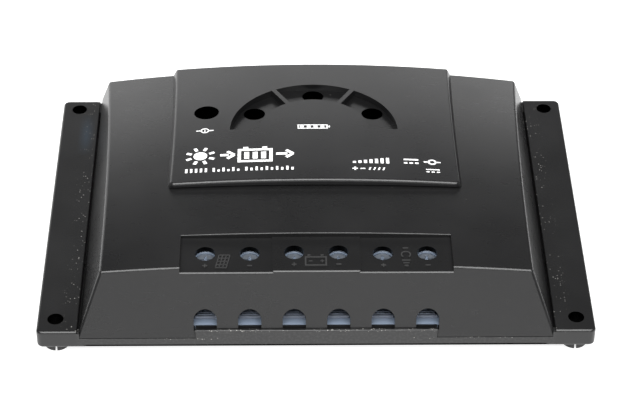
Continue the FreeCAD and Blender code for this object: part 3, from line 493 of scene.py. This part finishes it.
def moulded_epoxy():
    """Matt black component bodies."""
    shader = Shader("moulded_epoxy", roughness=0.55)
    grain = shader.noise(2200.0, 3.0)
    shader.set("Base Color", shader.mix(grain, (0.014, 0.014, 0.016), (0.032, 0.031, 0.032)))
    shader.set("Roughness", shader.ramp(grain, 0.2, 0.8, 0.46, 0.64))
    shader.bump(grain, 0.00001)
    return shader.material


def silicone_sheet():
    """Grey filled silicone with a faint weave."""
    shader = Shader("silicone_sheet", roughness=0.7)
    weave = shader.noise(1.0, 2.0, shader.stretched((3500.0, 900.0, 900.0)))
    shader.set("Base Color", shader.mix(weave, (0.34, 0.36, 0.39), (0.46, 0.48, 0.50)))
    shader.bump(weave, 0.00001)
    return shader.material


def chip_ceramic(name, top_dark, top_light):
    """Chip part with a fired top and tinned sides."""
    shader = Shader(name, roughness=0.4)
    grain = shader.noise(1800.0, 2.0)
    side = shader.math("LESS_THAN", shader.facing("Z"), 0.5)
    top = shader.mix(grain, top_dark, top_light)
    shader.set("Base Color", shader.mix(side, top, TIN))
    shader.set("Metallic", side)
    return shader.material


def dipped_bead():
    """Glossy green epoxy with runs."""
    shader = Shader("dipped_bead", roughness=0.25, coat=0.3)
    drip = shader.noise(700.0, 3.0)
    shader.set("Base Color", shader.mix(drip, (0.02, 0.09, 0.03), (0.05, 0.17, 0.06)))
    shader.bump(drip, 0.00004)
    return shader.material


def white_ink():
    """Screen-printed ink: opaque, slightly uneven, with pinholes."""
    shader = Shader("white_ink", roughness=0.5)
    cloud = shader.noise(1200.0, 3.0)
    pinholes = shader.ramp(shader.noise(4200.0, 1.0), 0.70, 0.78)
    ink = shader.mix(cloud, (0.80, 0.80, 0.80), (0.92, 0.92, 0.92))
    shader.set("Base Color", shader.mix(pinholes, ink, (0.45, 0.45, 0.46)))
    shader.bump(cloud, 0.00001)
    return shader.material


def make_materials():
    """One material for each slot of the record."""
    housing = satin_black(
        "housing_plastic",
        dark=(0.0034, 0.0034, 0.0035),
        light=(0.0056, 0.0056, 0.0058),
        roughness=0.295,
        grain=0.000010,
        wells=COVER_WELLS,
    )
    panel = satin_black(
        "panel_plastic",
        dark=(0.0055, 0.0055, 0.0058),
        light=(0.0080, 0.0080, 0.0084),
        roughness=0.31,
        grain=0.000007,
        wells=PANEL_WELLS,
    )
    spacer = satin_black(
        "spacer_nylon",
        dark=(0.010, 0.010, 0.010),
        light=(0.016, 0.016, 0.016),
        roughness=0.55,
        grain=0.000012,
    )
    tumbled = (2400.0, 2400.0, 2400.0)
    rolled = (400.0, 7000.0, 7000.0)
    zinc = plated_metal("zinc_plate", (0.20, 0.225, 0.26), (0.34, 0.38, 0.44), 0.34, tumbled, 0.8)
    aluminium = plated_metal("rolled_aluminium", (0.62, 0.63, 0.65), (0.74, 0.75, 0.77), 0.36, rolled)
    return {
        "housing_black": housing,
        "panel_black": panel,
        "terminal_grey": terminal_plastic(),
        "zinc_steel": zinc,
        # Tin plate coloured darker than bright tin: painted shade, as these parts sit inside the housing.
        "tinned_copper": plated_metal("tin_plate", (0.20, 0.20, 0.21), (0.34, 0.34, 0.35), 0.40),
        "board_green": solder_mask_board(),
        "lens_green": tinted_lens("green_lens", (0.20, 0.62, 0.25), (0.08, 0.42, 0.12)),
        "lens_yellow": tinted_lens("yellow_lens", (0.85, 0.66, 0.10), (0.70, 0.48, 0.04)),
        "lens_red": tinted_lens("red_lens", (0.68, 0.07, 0.05), (0.45, 0.02, 0.02)),
        "spacer_black": spacer,
        "bare_aluminium": aluminium,
        "silicone_pad": silicone_sheet(),
        "capacitor_sleeve": sleeved_can(),
        "black_epoxy": moulded_epoxy(),
        "shunt_alloy": plated_metal("resistance_alloy", (0.42, 0.35, 0.29), (0.56, 0.48, 0.40), 0.38),
        "crystal_can": plated_metal("drawn_can", (0.60, 0.60, 0.57), (0.72, 0.71, 0.68), 0.26),
        "thermistor_bead": dipped_bead(),
        "chip_black": chip_ceramic("chip_resistor", (0.015, 0.015, 0.018), (0.03, 0.03, 0.034)),
        "chip_tan": chip_ceramic("chip_capacitor", (0.36, 0.26, 0.16), (0.48, 0.36, 0.24)),
    }


def dress_cad_nodes(materials):
    """Gives each CAD node its slot's material; the base and the cages have variants of their own."""
    special = {"base_tray": base_black()}
    cage_metal = cage_zinc()
    for number in range(1, len(POLE_X) + 1):
        special["clamp_cage_%d" % number] = cage_metal
    for part in frame["record"]["subparts"]:
        node = NODES[part["node"]]
        node.data.materials.clear()
        node.data.materials.append(special.get(part["node"], materials[part["material_slot"]]))


# ---- Marks laid on the moulded surfaces ---------------------------------------------------------------
class Surface:
    """Finds the top of one CAD node below any point."""

    def __init__(self, node):
        mesh = NODES[node].data
        points = [v.co.copy() for v in mesh.vertices]
        self.tree = BVHTree.FromPolygons(points, [tuple(p.vertices) for p in mesh.polygons])

    def height(self, x, y):
        """Height in millimetres at x, y in millimetres."""
        hit = self.tree.ray_cast(Vector((x, y, RAY_START)) * MM, Vector((0, 0, -1)))
        return hit[0].z / MM


class Mark:
    """A thin relief that follows the surface under it, made of small patches."""

    def __init__(self, surface, low, high):
        self.bm = bmesh.new()
        self.surface = surface
        self.low = low
        self.high = high

    def patch(self, place, across, along, closed=False):
        """A closed slab over a grid; place(u, v) gives x, y for u, v from 0 to 1."""
        count = along if closed else along + 1
        layers = []
        for lift in (self.low, self.high):
            rows = []
            for i in range(across + 1):
                row = []
                for j in range(count):
                    x, y = place(i / across, j / along)
                    z = self.surface.height(x, y) + lift
                    row.append(self.bm.verts.new(Vector((x, y, z)) * MM))
                rows.append(row)
            layers.append(rows)
        bottom, top = layers
        steps = range(along)
        for i in range(across):
            for j in steps:
                k = (j + 1) % count
                self.bm.faces.new((top[i][j], top[i + 1][j], top[i + 1][k], top[i][k]))
                self.bm.faces.new((bottom[i][k], bottom[i + 1][k], bottom[i + 1][j], bottom[i][j]))
        for j in steps:
            k = (j + 1) % count
            self.bm.faces.new((bottom[0][j], top[0][j], top[0][k], bottom[0][k]))
            self.bm.faces.new((bottom[across][k], top[across][k], top[across][j], bottom[across][j]))
        if not closed:
            for i in range(across):
                self.bm.faces.new((bottom[i + 1][0], top[i + 1][0], top[i][0], bottom[i][0]))
                self.bm.faces.new((bottom[i][along], top[i][along], top[i + 1][along], bottom[i + 1][along]))

    def stroke(self, x0, y0, x1, y1, width):
        """A straight bar between two points."""
        length = math.hypot(x1 - x0, y1 - y0)
        side_x = -(y1 - y0) / length * width / 2.0
        side_y = (x1 - x0) / length * width / 2.0

        def place(u, v):
            s = 2.0 * u - 1.0
            return x0 + (x1 - x0) * v + side_x * s, y0 + (y1 - y0) * v + side_y * s

        self.patch(place, 1, max(1, round(length / PATCH_LENGTH)))

    def arc(self, x, y, radius, width, start=0.0, end=360.0):
        """A curved bar, or a full ring."""
        full = end - start >= 360.0
        steps = max(8, round((end - start) / 360.0 * RING_PATCHES))

        def place(u, v):
            turn = math.radians(start + (end - start) * v)
            r = radius + width * (u - 0.5)
            return x + r * math.cos(turn), y + r * math.sin(turn)

        self.patch(place, 1, steps, full)

    def frame(self, x0, y0, x1, y1, width):
        """A rectangular outline."""
        h = width / 2.0
        self.stroke(x0 - h, y0, x1 + h, y0, width)
        self.stroke(x0 - h, y1, x1 + h, y1, width)
        self.stroke(x0, y0 + h, x0, y1 - h, width)
        self.stroke(x1, y0 + h, x1, y1 - h, width)

    def finish(self, name, material):
        mesh = bpy.data.meshes.new(name)
        bmesh.ops.recalc_face_normals(self.bm, faces=self.bm.faces)
        self.bm.to_mesh(mesh)
        self.bm.free()
        mesh.materials.append(material)
        piece = bpy.data.objects.new(name, mesh)
        bpy.context.scene.collection.objects.link(piece)
        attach(piece, BODY)


def plus(mark, x, y, size, width):
    mark.stroke(x - size / 2, y, x + size / 2, y, width)
    mark.stroke(x, y - size / 2, x, y - width / 2, width)
    mark.stroke(x, y + width / 2, x, y + size / 2, width)


def minus(mark, x, y, size, width):
    mark.stroke(x - size / 2, y, x + size / 2, y, width)


def arrow(mark, x, y, length, height):
    """A bold arrow pointing right."""
    mark.stroke(x, y, x + length - height * 0.45, y, height * 0.30)
    tip = x + length
    for side in (-1, 1):
        mark.stroke(tip - height * 0.55, y + side * height * 0.5, tip, y, height * 0.28)


def bars(mark, x, y, count, pitch, width, heights):
    """A row of upright bars standing on one line; heights repeat along the row."""
    for k in range(count):
        middle = x + pitch * k
        mark.stroke(middle, y, middle, y + heights[k % len(heights)], width)


def direct_current(mark, x, y, width, gap, weight):
    """One solid line over three dashes."""
    mark.stroke(x, y + gap, x + width, y + gap, weight)
    dash = width * 0.24
    for k in range(3):
        start = x + k * (width - dash) / 2.0
        mark.stroke(start, y, start + dash, y, weight)


def battery_sign(mark, x0, y0, x1, y1, weight):
    """A battery seen from the side, with its two posts on top."""
    mark.frame(x0, y0, x1, y1, weight)
    width = x1 - x0
    post = width * 0.16
    for x in (x0 + width * 0.2, x1 - width * 0.2):
        mark.stroke(x - post / 2.0, y1 + weight, x + post / 2.0, y1 + weight, weight)


def panel_print(ink):
    """Generic white symbols in place of the lettering: info, battery, sun to battery, direct current."""
    panel = Surface("display_panel")

    info = Mark(panel, *PRINT)
    info_x, info_y = -30.1, 15.2
    info.arc(info_x, info_y, 1.0, 0.34)
    info.stroke(info_x, info_y - 0.5, info_x, info_y + 0.1, 0.36)
    info.stroke(info_x, info_y + 0.32, info_x, info_y + 0.6, 0.36)
    for x in (info_x - 2.4, info_x + 1.2):
        info.stroke(x, info_y, x + 1.2, info_y, 0.42)
    info.finish("print_info_sign", ink)

    battery = Mark(panel, *PRINT)
    battery_y = 15.9
    battery.frame(-4.3, battery_y - 0.85, 3.7, battery_y + 0.85, 0.34)
    battery.stroke(4.1, battery_y, 4.5, battery_y, 0.9)
    for k in range(4):
        x = -3.3 + 1.9 * k
        battery.stroke(x, battery_y - 0.5, x, battery_y + 0.5, 1.05)
    battery.finish("print_battery_sign", ink)

    sun = Mark(panel, *PRINT)
    sun_x, sun_y = -31.0, 2.7
    sun.arc(sun_x, sun_y, 0.95, 1.86)
    for k in range(8):
        turn = math.radians(45.0 * k + 22.5)
        c, s = math.cos(turn), math.sin(turn)
        sun.stroke(sun_x + 2.6 * c, sun_y + 2.6 * s, sun_x + 4.1 * c, sun_y + 4.1 * s, 0.9)
    arrow(sun, -25.6, sun_y, 3.8, 3.4)
    battery_sign(sun, -20.4, sun_y - 3.2, -11.8, sun_y + 2.2, 0.9)
    for k in range(3):
        x = -18.4 + 2.3 * k
        sun.stroke(x, sun_y - 2.1, x, sun_y + 1.1, 1.35)
    arrow(sun, -10.4, sun_y, 4.6, 3.4)
    sun.finish("print_sun_to_battery", ink)

    scale = Mark(panel, *PRINT)
    scale_y = -4.9
    bar = 0.62
    bars(scale, -34.6, scale_y, 5, 1.32, bar, (1.7, 1.7))
    bars(scale, -27.2, scale_y, 6, 1.32, bar, (1.7, 0.9))
    bars(scale, -18.4, scale_y, 10, 1.38, bar, (1.7, 1.2))
    scale.finish("print_scale_row", ink)

    steps = Mark(panel, *PRINT)
    bars(steps, 10.8, -1.75, 7, 1.5, 0.85, (0.8, 1.15, 1.45, 1.75, 2.05, 2.35, 2.6))
    steps.finish("print_step_bars", ink)

    current = Mark(panel, *PRINT)
    direct_current(current, 24.2, -1.2, 4.0, 1.6, 0.62)
    lamp_x, lamp_y = 31.9, -0.4
    current.arc(lamp_x, lamp_y, 0.95, 0.5)
    for x in (lamp_x - 2.3, lamp_x + 1.3):
        current.stroke(x, lamp_y, x + 1.0, lamp_y, 0.5)
    direct_current(current, 30.1, -5.0, 3.7, 1.1, 0.42)
    sign_y = -4.3
    plus(current, 10.9, sign_y, 1.5, 0.42)
    minus(current, 13.0, sign_y, 1.3, 0.42)
    for k in range(4):
        x = 14.7 + 1.25 * k
        current.stroke(x, sign_y - 0.6, x + 0.4, sign_y + 0.6, 0.42)
    current.finish("print_current_signs", ink)


def recess_relief(plastic):
    """Raised signs moulded into the facets: solar panel, battery, lamp, and the poles."""
    facets = Surface("front_cover")

    solar = Mark(facets, *RELIEF)
    solar_x, solar_y = -26.0, -41.5
    for k in range(5):
        y = solar_y + 1.2 * k
        lean = 0.22 * k
        solar.stroke(solar_x + lean, y, solar_x + 2.8 + lean, y, 0.26)
    for k in range(4):
        x = solar_x + 0.93 * k
        solar.stroke(x, solar_y, x + 0.88, solar_y + 4.8, 0.26)
    solar.finish("relief_solar_sign", plastic)

    battery = Mark(facets, *RELIEF)
    battery.frame(-2.8, -41.1, 2.5, -38.0, 0.42)
    for x in (-1.9, 1.5):
        battery.stroke(x - 0.4, -37.3, x + 0.4, -37.3, 0.5)
    battery_y = -39.5
    plus(battery, 1.5, battery_y, 1.0, 0.26)
    minus(battery, -1.5, battery_y, 1.0, 0.26)
    battery.finish("relief_battery_sign", plastic)

    lamp = Mark(facets, *RELIEF)
    lamp_x = 23.2
    lamp.arc(lamp_x, -36.7, 1.15, 0.34, -50.0, 230.0)
    for y, half, width in ((-34.2, 0.7, 0.4), (-38.9, 1.1, 0.4), (-39.9, 0.8, 0.32), (-40.9, 0.5, 0.4)):
        lamp.stroke(lamp_x - half, y, lamp_x + half, y, width)
    lamp.finish("relief_lamp_sign", plastic)

    poles = Mark(facets, *RELIEF)
    for number, x in enumerate(POLE_X):
        if number % 2 == 0:
            plus(poles, x, SIGN_Y, 1.3, 0.34)
        else:
            minus(poles, x, SIGN_Y, 1.3, 0.34)
    poles.finish("relief_pole_signs", plastic)


def make_marks():
    """Printed signs on the panel, and moulded signs on the cover in a lighter copy of its plastic as a
    painted highlight.
    """
    panel_print(white_ink())
    # The moulded signs are the cover's plastic, painted lighter as a highlight.
    relief = satin_black(
        "relief_plastic",
        dark=(0.022, 0.022, 0.022),
        light=(0.034, 0.034, 0.034),
        roughness=0.30,
        grain=0.000010,
    )
    recess_relief(relief)


make_camera()
make_stage()
dress_cad_nodes(make_materials())
make_marks()
